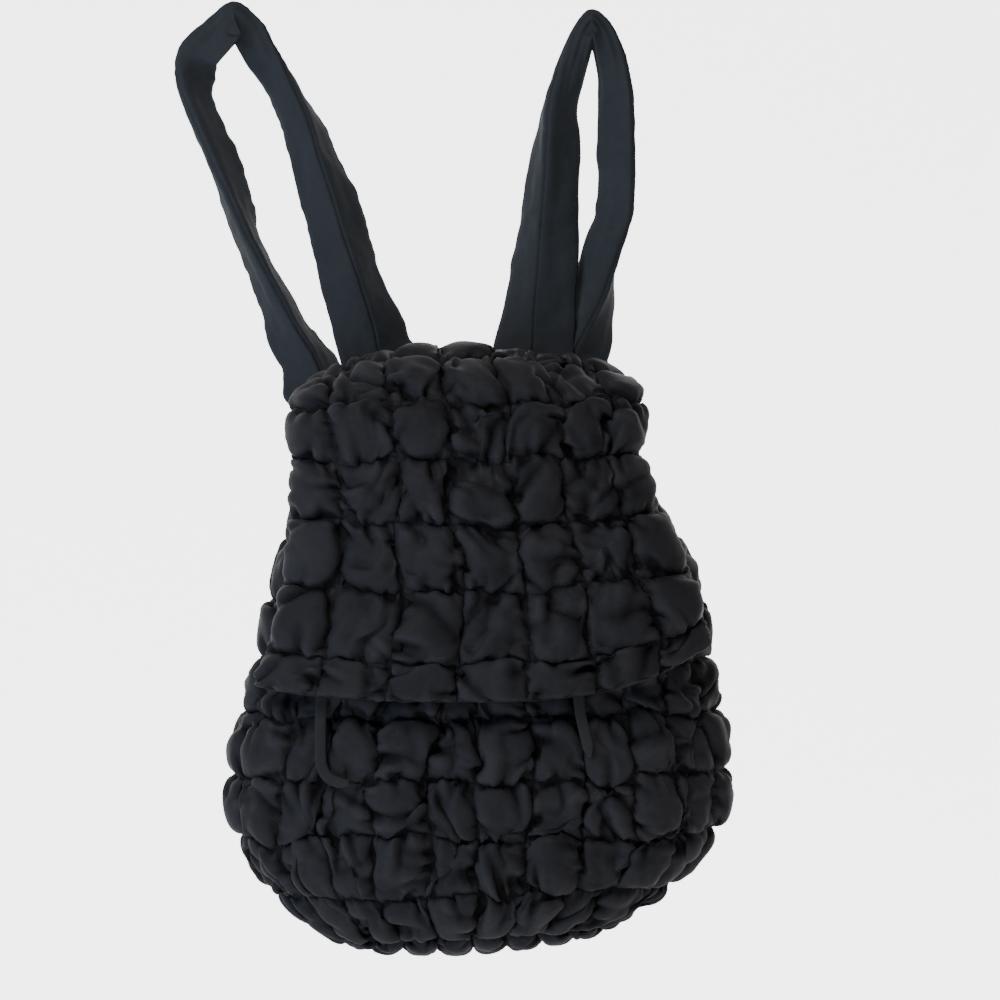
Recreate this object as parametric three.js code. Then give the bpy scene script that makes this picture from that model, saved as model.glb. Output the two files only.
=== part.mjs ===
// A quilted puffer backpack, hanging by its two shoulder straps.
// Millimetres, +Z up, -Y is the front. The origin is where the left strap hangs.
// The pouch is a padded front, back and base, gathered at the mouth by a drawstring.
// A padded flap carries on from the top of the back, over the mouth and down the front.
import * as THREE from "three";

// Driving sizes of the pouch. Widths and depths are those of the stitching lines, without the puffs.
const HALF_WIDTH = 142;
const HALF_DEPTH = 54;
const POUCH_HEIGHT = 300;
const RIM_DROP = 52; // from the top of the bag down to the front of the mouth
const BACK_RISE = 44; // from the front of the mouth up to its back
const SQUARENESS = 2.35; // of a level section: 2 is an ellipse
const COLUMNS = 12; // of puffs across the front, and as many across the back
const ROWS = 9;

// The padding
const PUFF = 8; // how far a puff stands out from its stitching lines
const SEAM_WALL = 3; // the wall along a stitching line
const SEWN_GAP = 0.4; // between two pieces that are sewn together
const PUFF_STEPS = 3; // facets across a puff
const LINING_STEPS = 2; // facets across a column, on the smooth inner side

// The base
const BASE_COLUMNS = 8;
const BASE_ROWS = COLUMNS - BASE_COLUMNS;
const BASE_SAG = 9; // how far the middle of the base hangs below its seam
const BASE_GAP = 0.7; // between the base and the walls that it is sewn to

// The flap
const FLAP_DROP = 211; // from the top of the bag to the lowest point of its edge
const FLAP_GAP = 6; // between the puffs of the pouch and the underside of the flap
const FLAP_COLUMNS = 7;

// The shoulder straps
const STRAP_WIDTH = 50;
const STRAP_THICKNESS = 3.6;
const STRAP_RISE = 210; // from the top of the bag to the seam of a strap at its crown
const STRAP_LEAN = 34; // how far forward the crowns are of the top of the back
const STRAP_SINK = 0.3; // how far a strap presses into the highest puffs that it lies on

// The drawstring, a flat cord
const CORD_WIDTH = 6.5;
const CORD_THICKNESS = 1.6;

// One row for each stitching line across the pouch, from the mouth to the base seam.
// drop: share of POUCH_HEIGHT. left, right: shares of HALF_WIDTH. front, back: shares of HALF_DEPTH.
// tilt: how far the right side is lifted, a share of POUCH_HEIGHT. rise: share of BACK_RISE.
// hold: how much more of the seam the middle columns take than the outer ones.
const POUCH_SECTIONS = [
  { drop: 0.0, left: 0.68, right: 0.55, front: 0.6, back: 0.63, tilt: 0, rise: 1, hold: 0 },
  { drop: 0.115, left: 0.73, right: 0.63, front: 0.7, back: 0.68, tilt: 0, rise: 0.7, hold: 0 },
  { drop: 0.228, left: 0.79, right: 0.79, front: 0.79, back: 0.74, tilt: 0, rise: 0.4, hold: 0 },
  { drop: 0.335, left: 0.86, right: 0.89, front: 0.87, back: 0.79, tilt: 0, rise: 0.15, hold: 0 },
  { drop: 0.445, left: 0.91, right: 0.925, front: 0.93, back: 0.83, tilt: 0, rise: 0.04, hold: 0 },
  { drop: 0.555, left: 0.975, right: 0.965, front: 0.98, back: 0.85, tilt: 0.003, rise: 0, hold: 0.04 },
  { drop: 0.672, left: 1.03, right: 1.0, front: 1.0, back: 0.85, tilt: 0.006, rise: 0, hold: 0.08 },
  { drop: 0.788, left: 0.985, right: 0.965, front: 0.96, back: 0.82, tilt: 0.008, rise: 0, hold: 0.15 },
  { drop: 0.9, left: 0.83, right: 0.78, front: 0.83, back: 0.72, tilt: 0.012, rise: 0, hold: 0.24 },
  { drop: 0.98, left: 0.58, right: 0.5, front: 0.58, back: 0.5, tilt: 0.012, rise: 0, hold: 0.24 },
];

// One row for each stitching line across the flap, after the seam that joins it to the back.
// over: the two lines above the mouth. reach: y as a share of HALF_DEPTH, in the middle and at the ends.
// front: the lines that hang in front. Their wrap is the angle round the pouch to each end, in degrees.
// middle, left, right: drop as shares of FLAP_DROP. half: half length as a share of HALF_WIDTH.
// flare: how far the line stands off further than FLAP_GAP, in shares of PUFF.
// lead: how far the middle columns stand to the right of even ones, a share of the line.
const FLAP_OVER = [
  { half: 0.65, shift: -0.07, reach: 0.36, endReach: 0.4, middle: 0.018, left: 0.128, right: 0.11, lead: 0 },
  { half: 0.68, shift: -0.07, reach: -0.36, endReach: 0.16, middle: 0.035, left: 0.142, right: 0.115, lead: 0 },
];
const FLAP_FRONT = [
  { wrapLeft: 82, wrapRight: 82, left: 0.19, middle: 0.17, right: 0.16, flare: 0, lead: 0.03 },
  { wrapLeft: 72, wrapRight: 72, left: 0.32, middle: 0.322, right: 0.305, flare: 0, lead: 0.035 },
  { wrapLeft: 62, wrapRight: 66, left: 0.488, middle: 0.498, right: 0.46, flare: 0, lead: 0.02 },
  { wrapLeft: 57, wrapRight: 62, left: 0.665, middle: 0.685, right: 0.63, flare: 0, lead: 0.012 },
  { wrapLeft: 57, wrapRight: 60, left: 0.85, middle: 0.87, right: 0.76, flare: 0.2, lead: 0.012 },
  { wrapLeft: 57, wrapRight: 58, left: 0.945, middle: 0.98, right: 0.825, flare: 0.55, lead: 0.012 },
];

// The straps, from the end sewn to the top of the back to the end sewn to its lower corner.
// side: x as a share of HALF_WIDTH. up: share of STRAP_RISE, or when below zero of POUCH_HEIGHT.
// back: y behind the back's own place, as a share of STRAP_WIDTH.
// open: the angle between the strap's two halves, folded at its middle seam, 180 where it lies flat.
// facing: where that seam points, from 0, out of the strap's own loop, to 90, forwards.
// wide: the share of its width that the strap keeps where its cloth is bunched at the crown.
const LEFT_STRAP = [
  { side: -0.37, up: -0.15, back: 0, open: 176, facing: 90, wide: 1 },
  { side: -0.405, up: -0.07, back: 0, open: 165, facing: 90, wide: 1 },
  { side: -0.45, up: 0.0, back: 0, open: 150, facing: 86, wide: 1 },
  { side: -0.475, up: 0.076, back: 0, open: 132, facing: 86, wide: 1 },
  { side: -0.535, up: 0.207, back: 0, open: 104, facing: 82, wide: 1 },
  { side: -0.592, up: 0.323, back: 0, open: 92, facing: 86, wide: 1 },
  { side: -0.644, up: 0.44, back: 0, open: 82, facing: 83, wide: 1 },
  { side: -0.7, up: 0.557, back: 0, open: 64, facing: 80, wide: 1 },
  { side: -0.751, up: 0.673, back: 0, open: 52, facing: 74, wide: 1 },
  { side: -0.8, up: 0.775, back: 0, open: 36, facing: 68, wide: 1 },
  { side: -0.845, up: 0.855, back: 0, open: 30, facing: 42, wide: 0.96 },
  { side: -0.922, up: 0.95, back: 0, open: 28, facing: 16, wide: 0.92 },
  { side: -1.06, up: 0.995, back: 0, open: 28, facing: 5, wide: 0.92 },
  { side: -1.2, up: 0.95, back: 0, open: 28, facing: 12, wide: 0.92 },
  { side: -1.285, up: 0.86, back: 0, open: 30, facing: 28, wide: 0.96 },
  { side: -1.29, up: 0.78, back: 0, open: 44, facing: 62, wide: 1 },
  { side: -1.25, up: 0.7, back: 0, open: 36, facing: 76, wide: 1 },
  { side: -1.16, up: 0.557, back: 0, open: 40, facing: 76, wide: 1 },
  { side: -1.08, up: 0.44, back: 0, open: 36, facing: 85, wide: 1 },
  { side: -1.02, up: 0.345, back: 0, open: 27, facing: 88, wide: 1 },
  { side: -0.945, up: 0.245, back: 0.03, open: 28, facing: 90, wide: 1 },
  { side: -0.87, up: 0.149, back: 0.07, open: 42, facing: 88, wide: 1 },
  { side: -0.79, up: 0.05, back: 0.11, open: 60, facing: 90, wide: 1 },
  { side: -0.72, up: -0.02, back: 0.13, open: 92, facing: 92, wide: 1 },
  { side: -0.675, up: -0.08, back: 0.14, open: 132, facing: 90, wide: 1 },
  { side: -0.62, up: -0.16, back: 0.12, open: 160, facing: 90, wide: 1 },
  { side: -0.58, up: -0.28, back: 0.04, open: 174, facing: 90, wide: 1 },
  { side: -0.58, up: -0.44, back: 0, open: 176, facing: 90, wide: 1 },
  { side: -0.6, up: -0.62, back: 0, open: 178, facing: 90, wide: 1 },
  { side: -0.64, up: -0.79, back: 0, open: 180, facing: 90, wide: 1 },
  { side: -0.67, up: -0.93, back: 0, open: 180, facing: 90, wide: 1 },
];
const RIGHT_STRAP = [
  { side: 0.2, up: -0.15, back: 0, open: 176, facing: 90, wide: 1 },
  { side: 0.212, up: -0.07, back: 0, open: 174, facing: 90, wide: 1 },
  { side: 0.218, up: 0.003, back: 0, open: 165, facing: 88, wide: 1 },
  { side: 0.227, up: 0.12, back: 0, open: 131, facing: 82, wide: 1 },
  { side: 0.244, up: 0.265, back: 0, open: 110, facing: 79, wide: 1 },
  { side: 0.257, up: 0.382, back: 0, open: 96, facing: 76, wide: 1 },
  { side: 0.27, up: 0.498, back: 0, open: 81, facing: 74, wide: 1 },
  { side: 0.279, up: 0.615, back: 0, open: 64, facing: 70, wide: 1 },
  { side: 0.292, up: 0.731, back: 0, open: 44, facing: 66, wide: 0.94 },
  { side: 0.34, up: 0.85, back: 0, open: 34, facing: 40, wide: 0.76 },
  { side: 0.395, up: 0.93, back: 0, open: 30, facing: 20, wide: 0.62 },
  { side: 0.465, up: 0.972, back: 0, open: 28, facing: 8, wide: 0.6 },
  { side: 0.54, up: 0.935, back: 0, open: 28, facing: 20, wide: 0.62 },
  { side: 0.597, up: 0.855, back: 0, open: 28, facing: 40, wide: 0.76 },
  { side: 0.63, up: 0.745, back: 0, open: 27, facing: 52, wide: 0.94 },
  { side: 0.641, up: 0.62, back: 0, open: 26, facing: 52, wide: 1 },
  { side: 0.641, up: 0.5, back: 0, open: 26, facing: 52, wide: 1 },
  { side: 0.632, up: 0.39, back: 0, open: 30, facing: 48, wide: 1 },
  { side: 0.57, up: 0.27, back: 0.04, open: 44, facing: 50, wide: 1 },
  { side: 0.51, up: 0.15, back: 0.1, open: 62, facing: 62, wide: 1 },
  { side: 0.445, up: 0.061, back: 0.14, open: 82, facing: 74, wide: 1 },
  { side: 0.395, up: -0.01, back: 0.16, open: 108, facing: 82, wide: 1 },
  { side: 0.38, up: -0.08, back: 0.14, open: 138, facing: 90, wide: 1 },
  { side: 0.385, up: -0.16, back: 0.12, open: 160, facing: 90, wide: 1 },
  { side: 0.42, up: -0.28, back: 0.04, open: 172, facing: 90, wide: 1 },
  { side: 0.47, up: -0.44, back: 0, open: 176, facing: 90, wide: 1 },
  { side: 0.53, up: -0.62, back: 0, open: 178, facing: 90, wide: 1 },
  { side: 0.59, up: -0.79, back: 0, open: 180, facing: 90, wide: 1 },
  { side: 0.64, up: -0.93, back: 0, open: 180, facing: 90, wide: 1 },
];
const STRAP_STEPS = 2; // facets between two rows of a strap's table

// The ends of the drawstring, from the buttonhole in the front to the free end: x and z.
// Each lies on the puffs.
const CORD_LIFT = 1.4; // between the puffs and the cord's middle
const LEFT_CORD = [
  [-78, -68], [-79.5, -82], [-81.8, -98], [-84.2, -114], [-86.4, -130], [-88.4, -146], [-90, -162],
  [-91.3, -178], [-92.2, -192], [-92.9, -206], [-93.3, -219], [-93.4, -230], [-93.3, -240],
  [-91.9, -247.5], [-88, -252.4], [-82.6, -254.6], [-76.5, -254.8],
];
const RIGHT_CORD = [
  [52, -68], [52.4, -84], [52.8, -100], [53.2, -117], [53.6, -134], [54, -151], [54.5, -168],
  [55, -184], [55.8, -199], [57, -213], [59.6, -225], [61.6, -234], [62.8, -240],
];

const clamp = THREE.MathUtils.clamp;
const rad = THREE.MathUtils.degToRad;
const UP = new THREE.Vector3(0, 0, 1);
const CLOTH = { roughness: 0.62, metalness: 0 };
const shell = new THREE.MeshStandardMaterial({ color: 0x1e1e22, ...CLOTH });
const plain = new THREE.MeshStandardMaterial({ color: 0x2b2d33, ...CLOTH });
const tape = new THREE.MeshStandardMaterial({ color: 0x1a1a1d, ...CLOTH });

// A smooth value between the rows of a table of sections.
function rowAt(table, at) {
  const first = clamp(Math.floor(at), 0, table.length - 2);
  const t = at - first;
  const near = [-1, 0, 1, 2].map((k) => table[clamp(first + k, 0, table.length - 1)]);
  const row = {};
  for (const key of Object.keys(near[1])) row[key] = between(near.map((r) => r[key]), t);
  return row;
}

// The cubic through the middle two of four values.
function between([a, b, c, d], t) {
  const slopeB = (c - a) / 2;
  const slopeC = (d - b) / 2;
  const cubic = 2 * b - 2 * c + slopeB + slopeC;
  const square = -3 * b + 3 * c - 2 * slopeB - slopeC;
  return ((cubic * t + square) * t + slopeB) * t + b;
}

// Half of a level section of the pouch, from one side to the other, through the front or the back.
class HalfSection extends THREE.Curve {
  constructor({ left, right, front, back }, through, outset = 0) {
    super();
    this.half = (HALF_WIDTH * (left + right)) / 2 + outset;
    this.middle = (HALF_WIDTH * (right - left)) / 2;
    this.depth = through === "front" ? -HALF_DEPTH * front - outset : HALF_DEPTH * back + outset;
    this.heading = through === "front" ? 1 : -1; // a walk round the pouch, seen from outside to the right
  }

  // The point at an angle in degrees from the middle, towards +X when the heading is 1.
  atAngle(angle, target = new THREE.Vector3()) {
    const power = 2 / SQUARENESS;
    const across = Math.sign(angle) * Math.abs(Math.sin(rad(angle))) ** power;
    const out = Math.abs(Math.cos(rad(angle))) ** power;
    return target.set(this.middle + this.heading * this.half * across, this.depth * out, 0);
  }

  getPoint(t, target) {
    return this.atAngle(180 * t - 90, target);
  }
}

// The height of a point of the pouch: the mouth rises to the back, and the base is tilted.
function pouchHeight({ drop, left, right, front, back, tilt, rise }, x, y) {
  const half = (HALF_WIDTH * (left + right)) / 2;
  const middle = (HALF_WIDTH * (right - left)) / 2;
  const towardsBack = (1 + clamp(y / (HALF_DEPTH * (y < 0 ? front : back)), -1, 1)) / 2;
  const lifted = (tilt * POUCH_HEIGHT * (x - middle)) / half;
  return -RIM_DROP - drop * POUCH_HEIGHT + lifted + rise * BACK_RISE * towardsBack ** 2;
}

// Where a column's line meets a half section: the middle columns keep their width where the pouch narrows.
function alongSeam(share, hold) {
  const t = 2 * share - 1;
  return (1 + t * (1 + hold * (1 - Math.abs(t) ** 3))) / 2;
}

// The stitched surface of the whole pouch: rings of points, with their outward directions.
function pouchRings(steps) {
  const rings = [];
  for (let j = 0; j <= ROWS * steps; j++) {
    const section = rowAt(POUCH_SECTIONS, j / steps);
    const ring = [];
    for (const through of ["front", "back"]) {
      const half = new HalfSection(section, through);
      for (let i = 0; i < COLUMNS * steps; i++) {
        const p = half.getPointAt(alongSeam(i / (COLUMNS * steps), section.hold));
        ring.push(p.setZ(pouchHeight(section, p.x, p.y)));
      }
    }
    rings.push(ring);
  }
  return { points: rings, outward: directions(rings, true) };
}

// The outward direction at each point of a grid whose rows run to the right and whose columns run down.
function directions(grid, closed) {
  const last = grid.length - 1;
  return grid.map((row, j) =>
    row.map((_, i) => {
      const count = row.length;
      const before = closed ? (i + count - 1) % count : Math.max(i - 1, 0);
      const after = closed ? (i + 1) % count : Math.min(i + 1, count - 1);
      const across = row[after].clone().sub(row[before]);
      const down = grid[Math.min(j + 1, last)][i].clone().sub(grid[Math.max(j - 1, 0)][i]);
      return down.cross(across).normalize();
    }),
  );
}

// How high a puff stands, as a share, at a point of its cell. No two puffs are quite alike.
function puffShare(column, row) {
  const rise = (s) => 1 - Math.abs(2 * (s - Math.floor(s)) - 1) ** 3;
  const [c, r] = [Math.floor(column), Math.floor(row)];
  const fullness = 0.86 + 0.14 * Math.sin(2.3 * c + 3.7 * r + c * r);
  return fullness * rise(column) * rise(row);
}

// Moves the points of a grid along their outward directions.
function offset(points, outward, distance) {
  return points.map((row, j) =>
    row.map((p, i) => p.clone().addScaledVector(outward[j][i], distance(i, j))),
  );
}

// A closed padded panel between an outer grid and an inner one, which may be coarser.
function paddedPanel(outer, inner) {
  const points = [...outer.flat(), ...inner.flat()];
  const index = [];
  const at = (grid, first) => (j, i) => first + j * grid[0].length + i;
  const skin = (grid, id, flip) => {
    for (let j = 0; j + 1 < grid.length; j++)
      for (let i = 0; i + 1 < grid[0].length; i++) {
        const corners = [id(j, i), id(j + 1, i), id(j + 1, i + 1), id(j, i + 1)];
        if (flip) corners.reverse();
        const [a, b, c, d] = corners;
        index.push(a, b, c, a, c, d);
      }
  };
  const outerId = at(outer, 0);
  const innerId = at(inner, outer.flat().length);
  skin(outer, outerId, false);
  skin(inner, innerId, true);
  // Each edge is walked with the panel on its left, seen from outside.
  const edges = (grid, id) => {
    const [down, across] = [grid.length - 1, grid[0].length - 1];
    const run = (n, place) => Array.from({ length: n + 1 }, (_, k) => place(k));
    return [
      run(down, (k) => id(k, 0)),
      run(across, (k) => id(down, k)),
      run(down, (k) => id(down - k, across)),
      run(across, (k) => id(0, across - k)),
    ];
  };
  const innerEdges = edges(inner, innerId);
  edges(outer, outerId).forEach((rim, k) => zip(rim, innerEdges[k], index));
  return closedGeometry(points, index);
}

// Fills the strip between two edges with triangles, however many points each has.
function zip(rim, lining, index) {
  let [i, k] = [0, 0];
  while (i < rim.length - 1 || k < lining.length - 1) {
    const nextRim = (i + 1) / (rim.length - 1);
    const nextLining = (k + 1) / (lining.length - 1);
    if (k === lining.length - 1 || (i < rim.length - 1 && nextRim <= nextLining)) {
      index.push(rim[i], lining[k], rim[i + 1]);
      i++;
    } else {
      index.push(rim[i], lining[k], lining[k + 1]);
      k++;
    }
  }
}

function closedGeometry(points, index) {
  const geometry = new THREE.BufferGeometry().setFromPoints(points);
  geometry.setIndex(index);
  geometry.computeVertexNormals();
  return geometry;
}

// One half of the pouch wall: its outer side puffs out, and its inner side is the smooth lining.
function wallPanel(through) {
  const part = (steps, distance) => {
    const { points, outward } = pouchRings(steps);
    const first = through === "front" ? 0 : COLUMNS * steps;
    const cut = (row) =>
      Array.from({ length: COLUMNS * steps + 1 }, (_, i) => row[(first + i) % row.length]);
    const panel = offset(points.map(cut), outward.map(cut), distance(steps));
    return drawnIn(panel, SEWN_GAP / 2);
  };
  const puffs = (steps) => (i, j) => PUFF * puffShare(i / steps, j / steps);
  return paddedPanel(
    part(PUFF_STEPS, puffs),
    part(LINING_STEPS, () => () => -SEAM_WALL),
  );
}

// Moves the two side edges of a panel inwards along its own rows, to leave room for the seam.
function drawnIn(panel, distance) {
  for (const row of panel) {
    const last = row.length - 1;
    const ends = [[0, 1], [last, last - 1]];
    for (const [edge, next] of ends) {
      const inwards = row[next].clone().sub(row[edge]).setLength(distance);
      row[edge].add(inwards);
    }
  }
  return panel;
}

// The oval base, whose edge follows the lowest ring of the wall point by point.
function basePanel() {
  const part = (steps, distance) => {
    const { points, outward } = pouchRings(steps);
    const ring = points.at(-1);
    const rim = outward.at(-1);
    const inside = points.at(-2);
    const [across, down] = [BASE_COLUMNS * steps, BASE_ROWS * steps];
    const start = Math.round(((COLUMNS - BASE_COLUMNS) / 2) * steps); // the base's front left corner
    const place = (k) => (start + k + ring.length) % ring.length;
    const edge = (k) => {
      const onward = ring[place(k)].clone().sub(inside[place(k)]).setLength(BASE_GAP);
      return ring[place(k)].clone().add(onward);
    };
    const grid = [];
    for (let j = 0; j <= down; j++) {
      const row = [];
      for (let i = 0; i <= across; i++) {
        const [s, t] = [i / across, j / down];
        const front = edge(i);
        const rear = edge(2 * across + down - i);
        const left = edge(-j);
        const right = edge(across + j);
        const p = front.multiplyScalar(1 - t).addScaledVector(rear, t);
        p.addScaledVector(left, 1 - s).addScaledVector(right, s);
        p.addScaledVector(edge(0), -(1 - s) * (1 - t)).addScaledVector(edge(across), -s * (1 - t));
        p.addScaledVector(edge(-down), -(1 - s) * t).addScaledVector(edge(across + down), -s * t);
        p.z -= BASE_SAG * 16 * s * (1 - s) * t * (1 - t);
        row.push(p);
      }
      grid.push(row);
    }
    const outwards = directions(grid, false);
    for (let i = 0; i <= across; i++) {
      outwards[0][i] = rim[place(i)];
      outwards[down][i] = rim[place(2 * across + down - i)];
    }
    for (let j = 0; j <= down; j++) {
      outwards[j][0] = rim[place(-j)];
      outwards[j][across] = rim[place(across + j)];
    }
    return offset(grid, outwards, distance(steps));
  };
  const puffs = (steps) => (i, j) => PUFF * puffShare(i / steps, j / steps);
  return paddedPanel(
    part(PUFF_STEPS, puffs),
    part(LINING_STEPS, () => () => -SEAM_WALL),
  );
}

// The level section of the pouch at a height, as its front or its back has it there.
function sectionAt(z, through) {
  const lift = through === "back" ? BACK_RISE : 0;
  const height = ({ drop, rise }) => rise * lift - RIM_DROP - drop * POUCH_HEIGHT;
  let row = 0;
  while (row < ROWS - 1 && height(POUCH_SECTIONS[row + 1]) > z) row++;
  const [above, below] = [height(POUCH_SECTIONS[row]), height(POUCH_SECTIONS[row + 1])];
  return rowAt(POUCH_SECTIONS, row + clamp((above - z) / (above - below), 0, 1));
}

// Spaces the points of a line evenly along it, but for the lead of its middle ones.
function evenly(line, lead) {
  const lengths = [0];
  for (let i = 1; i < line.length; i++) lengths.push(lengths[i - 1] + line[i].distanceTo(line[i - 1]));
  return line.map((_, i) => {
    const share = i / (line.length - 1);
    const reach = (share + lead * Math.sin(Math.PI * share)) * lengths.at(-1);
    const after = clamp(lengths.findIndex((length) => length >= reach - 1e-9), 1, line.length - 1);
    const t = (reach - lengths[after - 1]) / (lengths[after] - lengths[after - 1]);
    return line[after - 1].clone().lerp(line[after], clamp(t, 0, 1));
  });
}

// The stitched surface of the flap: a grid from its seam with the back to its free edge.
function flapGrid(steps, rowSteps = steps) {
  const across = FLAP_COLUMNS * steps;
  const lines = [];
  const draw = (place, lead = 0) => {
    const line = Array.from({ length: across + 1 }, (_, i) => place((2 * i) / across - 1));
    lines.push(evenly(line, lead));
  };

  // The seam follows the back of the mouth.
  const mouth = POUCH_SECTIONS[0];
  const backRim = new HalfSection(mouth, "back");
  draw((s) => {
    const p = backRim.atAngle(-HINGE_WRAP * s);
    return p.setZ(pouchHeight(mouth, p.x, p.y) + HINGE_GAP);
  });
  for (const { half, shift, reach, endReach, left, middle, right, lead } of FLAP_OVER)
    draw((s) => {
      const bow = Math.abs(s) ** FLAP_BOW;
      const drop = middle + ((s < 0 ? left : right) - middle) * bow;
      const y = reach + (endReach - reach) * bow;
      return new THREE.Vector3(HALF_WIDTH * (shift + half * s), HALF_DEPTH * y, -FLAP_DROP * drop);
    }, lead);
  for (const { wrapLeft, wrapRight, left, middle, right, flare, lead } of FLAP_FRONT)
    draw((s) => {
      const drop = FLAP_DROP * (middle + ((s < 0 ? left : right) - middle) * s * s);
      const clear = PUFF * (1 + flare) + FLAP_GAP + SEAM_WALL;
      const hull = new HalfSection(sectionAt(-drop, "front"), "front", clear);
      return hull.atAngle(s * (s < 0 ? wrapLeft : wrapRight)).setZ(-drop);
    }, lead);

  const rows = (lines.length - 1) * rowSteps;
  const grid = [];
  for (let j = 0; j <= rows; j++) {
    const first = Math.min(Math.floor(j / rowSteps), lines.length - 2);
    const near = [-1, 0, 1, 2].map((k) => lines[clamp(first + k, 0, lines.length - 1)]);
    const t = j / rowSteps - first;
    grid.push(
      near[1].map((_, i) => {
        const axis = (name) => between(near.map((line) => line[i][name]), t);
        return new THREE.Vector3(axis("x"), axis("y"), axis("z"));
      }),
    );
  }
  const outward = directions(grid, false);
  outward[0].forEach((direction) => direction.setZ(0).setLength(1));
  return { points: grid, outward };
}
const HINGE_GAP = 0.5; // between the flap and the back, which are sewn to each other
const HINGE_WRAP = 60; // degrees of the back of the mouth to each end of the flap's seam
const FLAP_BOW = 2.4; // how late the flap's lines above the mouth bend down to their ends

function flapPanel() {
  const outer = flapGrid(PUFF_STEPS);
  const inner = flapGrid(LINING_STEPS, 1);
  const puffs = (i, j) => PUFF * puffShare(i / PUFF_STEPS, j / PUFF_STEPS);
  return paddedPanel(
    offset(outer.points, outer.outward, puffs),
    offset(inner.points, inner.outward, () => -SEAM_WALL),
  );
}

// Where the puffs of the back are at a place and height, and how the back slopes there.
function backAt(x, z) {
  const hull = new HalfSection(sectionAt(z, "back"), "back", PUFF);
  const across = clamp((x - hull.middle) / hull.half, -BROAD, BROAD);
  const round = 1 - Math.abs(across) ** SQUARENESS;
  const steep = Math.abs(across) ** (SQUARENESS - 1) * round ** (1 / SQUARENESS - 1);
  const slope = (-Math.sign(across) * steep * hull.depth) / hull.half;
  return { y: hull.depth * round ** (1 / SQUARENESS), slope };
}
const BROAD = 0.72; // of the half width of the back, on which a strap can lie

// Where a strap's seam is from front to back, and the lean of the back that it lies flat on.
function strapRest(x, z) {
  const lying = backAt(x, Math.min(z, 0));
  const hanging = backAt(0, 0).y - (STRAP_LEAN * z) / STRAP_RISE;
  const free = THREE.MathUtils.smoothstep(z, 0, 2 * STRAP_WIDTH);
  const y = THREE.MathUtils.lerp(lying.y, hanging, free);
  return { y, lean: Math.atan(lying.slope) * (1 - free) };
}

// The middle seam of a strap, and how the strap is folded along it.
function strapLine(table) {
  const stations = [];
  const count = (table.length - 1) * STRAP_STEPS;
  for (let k = 0; k <= count; k++) {
    const { side, up, back, open, facing, wide } = rowAt(table, k / STRAP_STEPS);
    const z = up > 0 ? up * STRAP_RISE : up * POUCH_HEIGHT;
    const x = side * HALF_WIDTH;
    const { y, lean } = strapRest(x, z);
    const point = new THREE.Vector3(x, y - STRAP_SINK + STRAP_THICKNESS / 2 + back * STRAP_WIDTH, z);
    stations.push({ point, open, facing, wide, lean });
  }
  return stations;
}

// A flat band of cloth along a line, folded lengthways at its middle by the angle at each station.
// turn: 1 if the band's loop runs anticlockwise seen from the front, -1 if it runs clockwise.
function foldedBand(stations, fullWidth, thickness, turn) {
  const points = [];
  const index = [];
  const forward = new THREE.Vector3(0, -1, 0);
  stations.forEach(({ point, open, facing, wide, lean }, k) => {
    const width = fullWidth * wide;
    const ahead = stations[Math.min(k + 1, stations.length - 1)].point;
    const behind = stations[Math.max(k - 1, 0)].point;
    const along = ahead.clone().sub(behind).setY(0).normalize();
    const outOfLoop = new THREE.Vector3(along.z, 0, -along.x).multiplyScalar(turn);
    const seamward = outOfLoop.multiplyScalar(Math.cos(rad(facing)));
    seamward.addScaledVector(forward, Math.sin(rad(facing))).applyAxisAngle(UP, lean).normalize();
    const half = open / 2;
    const ridge = thickness / 2;
    const hollow = Math.min(ridge / Math.sin(rad(half)), width / 3);
    const arm = (sign) => seamward.clone().negate().applyAxisAngle(along, sign * rad(half));
    const skinOf = (direction) => {
      const normal = seamward.clone().addScaledVector(direction, -seamward.dot(direction));
      return normal.lengthSq() > 1e-9 ? normal.normalize() : seamward.clone();
    };
    const [a, b] = [arm(1), arm(-1)];
    const [na, nb] = [skinOf(a), skinOf(b)];
    const at = (direction, reach, normal, lift) =>
      point.clone().addScaledVector(direction, reach).addScaledVector(normal, lift);
    const corner = ridge / 3;
    points.push(
      at(a, width / 4, na, ridge),
      at(a, width / 2 - corner, na, ridge),
      at(a, width / 2, na, 0),
      at(a, width / 2 - corner, na, -ridge),
      at(seamward, -hollow, seamward, 0),
      at(b, width / 2 - corner, nb, -ridge),
      at(b, width / 2, nb, 0),
      at(b, width / 2 - corner, nb, ridge),
      at(b, width / 4, nb, ridge),
      at(seamward, ridge * SEAM_DIP, seamward, 0),
    );
  });
  const sides = points.length / stations.length;
  for (let k = 0; k + 1 < stations.length; k++)
    for (let i = 0; i < sides; i++) {
      const next = (i + 1) % sides;
      const [p, q] = [k * sides, (k + 1) * sides];
      index.push(p + i, q + i, q + next, p + i, q + next, p + next);
    }
  const end = (stations.length - 1) * sides;
  for (let i = 0; i < sides; i++) {
    const next = (i + 1) % sides;
    if (i === HOLLOW || next === HOLLOW) continue;
    index.push(HOLLOW, i, next, end + HOLLOW, end + next, end + i);
  }
  return closedGeometry(points, index);
}
const SEAM_DIP = 0.6; // of half the thickness: how little the seam along a strap stands out
const HOLLOW = 4; // the place of the inside of the fold among the points of a band's section

// A free end of the drawstring: a flat cord that lies on the puffs of the front.
function cordLine(route) {
  return route.map(([x, z], k) => {
    const hull = new HalfSection(sectionAt(z, "front"), "front", PUFF + CORD_LIFT);
    const across = clamp((x - hull.middle) / hull.half, -1, 1);
    const y = hull.depth * (1 - Math.abs(across) ** SQUARENESS) ** (1 / SQUARENESS);
    return { point: new THREE.Vector3(x, y, z), open: 180, facing: 90, wide: 1, lean: 0 };
  });
}

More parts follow.
